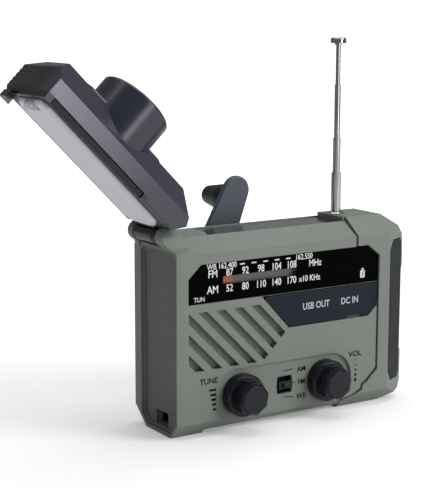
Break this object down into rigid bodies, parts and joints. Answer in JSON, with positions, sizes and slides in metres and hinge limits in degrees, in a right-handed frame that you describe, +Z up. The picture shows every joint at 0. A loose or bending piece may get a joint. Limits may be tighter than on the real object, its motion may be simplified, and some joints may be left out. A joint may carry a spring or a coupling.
{
  "type": "emergency radio",
  "caption": "Hand-crank emergency radio with a faceted olive case, flip-up lamp head, tuning dial, slanted speaker slots, knobs, solar strip and telescopic antenna.",
  "frame": {"origin": "centre of the body's footprint, on the plane of its feet", "axes": "+X to the right along the body, +Y from the front face to the back, +Z up"},
  "size_m": [0.1689, 0.0655, 0.1511],
  "materials": {
    "olive": "fine matte moulded plastic",
    "panel": "matte",
    "navy": "satin",
    "navy_rubber": "matte",
    "lamp_plastic": "satin",
    "crank_plastic": "satin",
    "black_plastic": "matte",
    "dial_black": "glossy",
    "rail_grey": "satin",
    "pointer_orange": "satin",
    "diffuser": "satin frosted",
    "clear_lens": "clear",
    "chrome": "polished",
    "steel": "satin",
    "circuit": "solder mask",
    "nylon": "satin",
    "solar": "glossy dark cells",
    "cell_wrap": "shrink wrap",
    "paper": "pressed paper",
    "led": "phosphor"
  },
  "bodies": {
    "body": {"front_casing": "olive", "rear_casing": "olive", "end_cap": "olive", "end_cap_inlay": "navy", "side_panel": "panel", "dial_window": "dial_black", "dial_rail": "rail_grey", "dial_cord": "nylon", "cord_guides": "nylon", "tuning_capacitor": "nylon", "volume_pot": "steel", "band_switch": "black_plastic", "usb_socket": "steel", "dc_socket": "black_plastic", "speaker_mesh": "olive", "speaker_frame": "steel", "speaker_cone": "paper", "main_board": "circuit", "battery_cell": "cell_wrap", "battery_cradle": "black_plastic", "solar_panel": "solar", "antenna_sleeve": "chrome", "gearbox_frame": "nylon", "step_axle": "steel", "generator_case": "steel", "hinge_pin": "steel", "hinge_collar": "black_plastic", "case_screws": "steel"},
    "tuner": {"tuning_knob": "navy", "tuning_shaft": "nylon", "dial_drum": "nylon"},
    "pointer": {"dial_pointer": "pointer_orange"},
    "volume": {"volume_knob": "navy", "volume_shaft": "steel"},
    "band": {"band_slider": "navy"},
    "cover": {"port_cover": "navy_rubber"},
    "antenna_1": {"antenna_section_1": "chrome"},
    "antenna_2": {"antenna_section_2": "chrome"},
    "antenna_3": {"antenna_section_3": "chrome"},
    "antenna_4": {"antenna_section_4": "chrome", "antenna_tip": "chrome"},
    "crank": {"crank_arm": "crank_plastic", "crank_shaft": "steel", "crank_gear": "nylon", "handle_pin": "steel"},
    "handle": {"crank_handle": "black_plastic"},
    "step": {"step_gear": "nylon"},
    "rotor": {"generator_rotor": "steel"},
    "lamp": {"lamp_shell": "lamp_plastic", "lamp_diffuser": "diffuser", "lamp_frame": "black_plastic", "lamp_board": "circuit", "lamp_leds": "led", "torch_bezel": "lamp_plastic", "torch_reflector": "chrome", "torch_lens": "clear_lens", "torch_led": "led", "lamp_latch": "diffuser"},
    "light_button": {"lamp_button": "navy"}
  },
  "joints": [
    {"name": "lamp_hinge", "type": "hinge", "parent": "body", "child": "lamp", "pos_m": [-0.0565, 0.0005, 0.078], "axis": [0, 1, 0], "range_deg": [-135.6, 36]},
    {"name": "light_button_push", "type": "slide", "parent": "lamp", "child": "light_button", "axis": [-0.7145, 0, -0.6997], "range_m": [0, 0.001], "stiffness_N_per_m": 300, "springref_m": -0.001},
    {"name": "crank_turn", "type": "hinge", "parent": "body", "child": "crank", "pos_m": [-0.0241, 0.0185, 0.05], "axis": [0, 1, 0], "continuous": true},
    {"name": "handle_spin", "type": "hinge", "parent": "crank", "child": "handle", "pos_m": [-0.00832, 0.0285, 0.08545], "axis": [0, 1, 0], "continuous": true},
    {"name": "step_spin", "type": "hinge", "parent": "body", "child": "step", "pos_m": [-0.00747, 0.0085, 0.0404], "axis": [0, 1, 0], "continuous": true},
    {"name": "rotor_spin", "type": "hinge", "parent": "body", "child": "rotor", "pos_m": [0.01173, 0.0085, 0.0404], "axis": [0, 1, 0], "continuous": true},
    {"name": "tune_turn", "type": "hinge", "parent": "body", "child": "tuner", "pos_m": [-0.0272, -0.0165, 0.0145], "axis": [0, -1, 0], "range_deg": [-180, 0]},
    {"name": "pointer_slide", "type": "slide", "parent": "body", "child": "pointer", "axis": [1, 0, 0], "range_m": [0, 0.0292]},
    {"name": "volume_turn", "type": "hinge", "parent": "body", "child": "volume", "pos_m": [0.0133, -0.0165, 0.0145], "axis": [0, -1, 0], "range_deg": [-150, 150]},
    {"name": "band_slide", "type": "slide", "parent": "body", "child": "band", "axis": [0, 0, 1], "range_m": [-0.0017, 0.0017]},
    {"name": "cover_flip", "type": "hinge", "parent": "body", "child": "cover", "pos_m": [0.0108, -0.0156, 0.05145], "axis": [-1, 0, 0], "range_deg": [0, 100]},
    {"name": "antenna_slide_1", "type": "slide", "parent": "body", "child": "antenna_1", "axis": [0, 0, 1], "range_m": [-0.0163, 0.04]},
    {"name": "antenna_slide_2", "type": "slide", "parent": "antenna_1", "child": "antenna_2", "axis": [0, 0, 1], "range_m": [-0.0144, 0.04]},
    {"name": "antenna_slide_3", "type": "slide", "parent": "antenna_2", "child": "antenna_3", "axis": [0, 0, 1], "range_m": [-0.022, 0.03]},
    {"name": "antenna_slide_4", "type": "slide", "parent": "antenna_3", "child": "antenna_4", "axis": [0, 0, 1], "range_m": [-0.0162, 0.034]}
  ],
  "couplings": [
    {"joint": "step_spin", "follows": "crank_turn", "ratio": -3},
    {"joint": "rotor_spin", "follows": "crank_turn", "ratio": 9},
    {"joint": "pointer_slide", "follows": "tune_turn", "m_per_rad": -0.00925}
  ]
}
